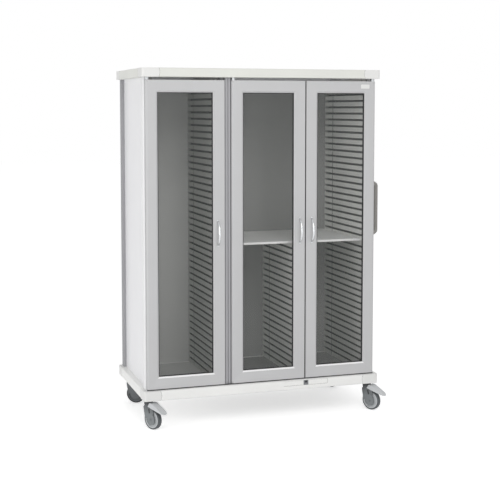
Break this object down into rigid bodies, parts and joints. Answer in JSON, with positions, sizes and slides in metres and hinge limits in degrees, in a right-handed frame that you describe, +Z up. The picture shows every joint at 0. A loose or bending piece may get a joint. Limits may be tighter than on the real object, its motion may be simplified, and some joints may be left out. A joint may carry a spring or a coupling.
{
  "type": "supply cart",
  "caption": "Tall mobile supply cabinet with glazed swing doors, ribbed tray walls, a half-height shelf, a side push handle and braked swivel casters.",
  "frame": {"origin": "on the floor, in the middle of the whole outline with the push handle and the brake pedals", "axes": "+Z up, the doors face -Y, +X to the right of someone who faces the doors"},
  "size_m": [1.4458, 0.7544, 2],
  "materials": {
    "white_moulding": "satin white",
    "white_profile": "white powder coat",
    "white_sheet": "satin white",
    "white_panel": "smooth satin",
    "post_aluminium": "satin anodised",
    "frame_aluminium": "satin anodised",
    "grey_lining": "smooth satin",
    "shelf_grey": "smooth satin",
    "tray_wall_grey": "fine grain",
    "hinge_steel": "zinc plated",
    "black_rubber": "matt",
    "grip_grey": "fine grain",
    "lock_chrome": "polished",
    "lock_black": "smooth",
    "door_glass": "clear, slightly grey",
    "handle_chrome": "polished",
    "caster_grey": "satin",
    "caster_steel": "zinc plated",
    "tyre_dark": "matt",
    "pedal_grey": "satin"
  },
  "bodies": {
    "cabinet": {"base_rails": "white_profile", "base_corners": "white_moulding", "floor_panel": "grey_lining", "cap_rails": "white_profile", "cap_corners": "white_moulding", "cap_panel": "white_sheet", "front_posts": "post_aluminium", "rear_posts": "post_aluminium", "centre_post": "post_aluminium", "side_panel_left": "white_panel", "side_panel_right": "white_panel", "back_panel": "grey_lining", "main_partition": "grey_lining", "lower_partition": "grey_lining", "shelf": "shelf_grey", "rails_left_outer": "tray_wall_grey", "rails_left_inner": "tray_wall_grey", "rails_upper_inner": "tray_wall_grey", "rails_upper_outer": "tray_wall_grey", "rails_lower_inner": "tray_wall_grey", "rails_lower_outer": "tray_wall_grey", "rails_divider_left": "tray_wall_grey", "rails_divider_right": "tray_wall_grey", "pivot_bushes": "hinge_steel", "door_seals": "black_rubber", "push_grip": "grip_grey", "push_brackets": "grip_grey", "lock_plate": "lock_chrome", "caster_mounts": "caster_steel"},
    "door_left": {"door_left_frame": "frame_aluminium", "door_left_glass": "door_glass", "door_left_gasket": "black_rubber", "door_left_handle": "handle_chrome", "door_left_pins": "hinge_steel"},
    "door_middle": {"door_middle_frame": "frame_aluminium", "door_middle_glass": "door_glass", "door_middle_gasket": "black_rubber", "door_middle_handle": "handle_chrome", "door_middle_pins": "hinge_steel"},
    "door_right": {"door_right_frame": "frame_aluminium", "door_right_glass": "door_glass", "door_right_gasket": "black_rubber", "door_right_handle": "handle_chrome", "door_right_pins": "hinge_steel"},
    "lock": {"lock_cylinder": "lock_black"},
    "caster_fl": {"fork_fl": "caster_grey"},
    "wheel_fl": {"hub_fl": "caster_grey", "tyre_fl": "tyre_dark"},
    "caster_fr": {"fork_fr": "caster_grey"},
    "wheel_fr": {"hub_fr": "caster_grey", "tyre_fr": "tyre_dark"},
    "caster_rl": {"fork_rl": "caster_grey"},
    "wheel_rl": {"hub_rl": "caster_grey", "tyre_rl": "tyre_dark"},
    "caster_rr": {"fork_rr": "caster_grey"},
    "wheel_rr": {"hub_rr": "caster_grey", "tyre_rr": "tyre_dark"},
    "brake_fl": {"pedal_fl": "pedal_grey"},
    "brake_fr": {"pedal_fr": "pedal_grey"}
  },
  "joints": [
    {"name": "door_left_swing", "type": "hinge", "parent": "cabinet", "child": "door_left", "pos_m": [-0.68738, -0.29578, 1.081], "axis": [0, 0, -1], "range_deg": [0, 110]},
    {"name": "door_middle_swing", "type": "hinge", "parent": "cabinet", "child": "door_middle", "pos_m": [-0.19738, -0.29578, 1.081], "axis": [0, 0, -1], "range_deg": [0, 110]},
    {"name": "door_right_swing", "type": "hinge", "parent": "cabinet", "child": "door_right", "pos_m": [0.64662, -0.29578, 1.081], "axis": [0, 0, 1], "range_deg": [0, 110]},
    {"name": "lock_turn", "type": "hinge", "parent": "cabinet", "child": "lock", "pos_m": [0.23062, -0.32778, 0.20804], "axis": [0, -1, 0], "range_deg": [0, 90]},
    {"name": "caster_fl_swivel", "type": "hinge", "parent": "cabinet", "child": "caster_fl", "pos_m": [-0.68288, -0.26178, 0.14], "axis": [0, 0, 1], "continuous": true},
    {"name": "wheel_fl_roll", "type": "hinge", "parent": "caster_fl", "child": "wheel_fl", "pos_m": [-0.66486, -0.29062, 0.057], "axis": [0.848, 0.5299, 0], "continuous": true},
    {"name": "brake_fl_press", "type": "hinge", "parent": "caster_fl", "child": "brake_fl", "pos_m": [-0.6638, -0.29231, 0.139], "axis": [0.848, 0.5299, 0], "range_deg": [0, 8]},
    {"name": "caster_fr_swivel", "type": "hinge", "parent": "cabinet", "child": "caster_fr", "pos_m": [0.64212, -0.26178, 0.14], "axis": [0, 0, 1], "continuous": true},
    {"name": "wheel_fr_roll", "type": "hinge", "parent": "caster_fr", "child": "wheel_fr", "pos_m": [0.66014, -0.29062, 0.057], "axis": [0.848, 0.5299, 0], "continuous": true},
    {"name": "brake_fr_press", "type": "hinge", "parent": "caster_fr", "child": "brake_fr", "pos_m": [0.6612, -0.29231, 0.139], "axis": [0.848, 0.5299, 0], "range_deg": [0, 8]},
    {"name": "caster_rl_swivel", "type": "hinge", "parent": "cabinet", "child": "caster_rl", "pos_m": [-0.66288, 0.31122, 0.14], "axis": [0, 0, 1], "continuous": true},
    {"name": "wheel_rl_roll", "type": "hinge", "parent": "caster_rl", "child": "wheel_rl", "pos_m": [-0.63286, 0.29526, 0.057], "axis": [0.4695, 0.8829, 0], "continuous": true},
    {"name": "caster_rr_swivel", "type": "hinge", "parent": "cabinet", "child": "caster_rr", "pos_m": [0.62212, 0.31122, 0.14], "axis": [0, 0, 1], "continuous": true},
    {"name": "wheel_rr_roll", "type": "hinge", "parent": "caster_rr", "child": "wheel_rr", "pos_m": [0.63808, 0.2812, 0.057], "axis": [0.8829, 0.4695, 0], "continuous": true}
  ]
}
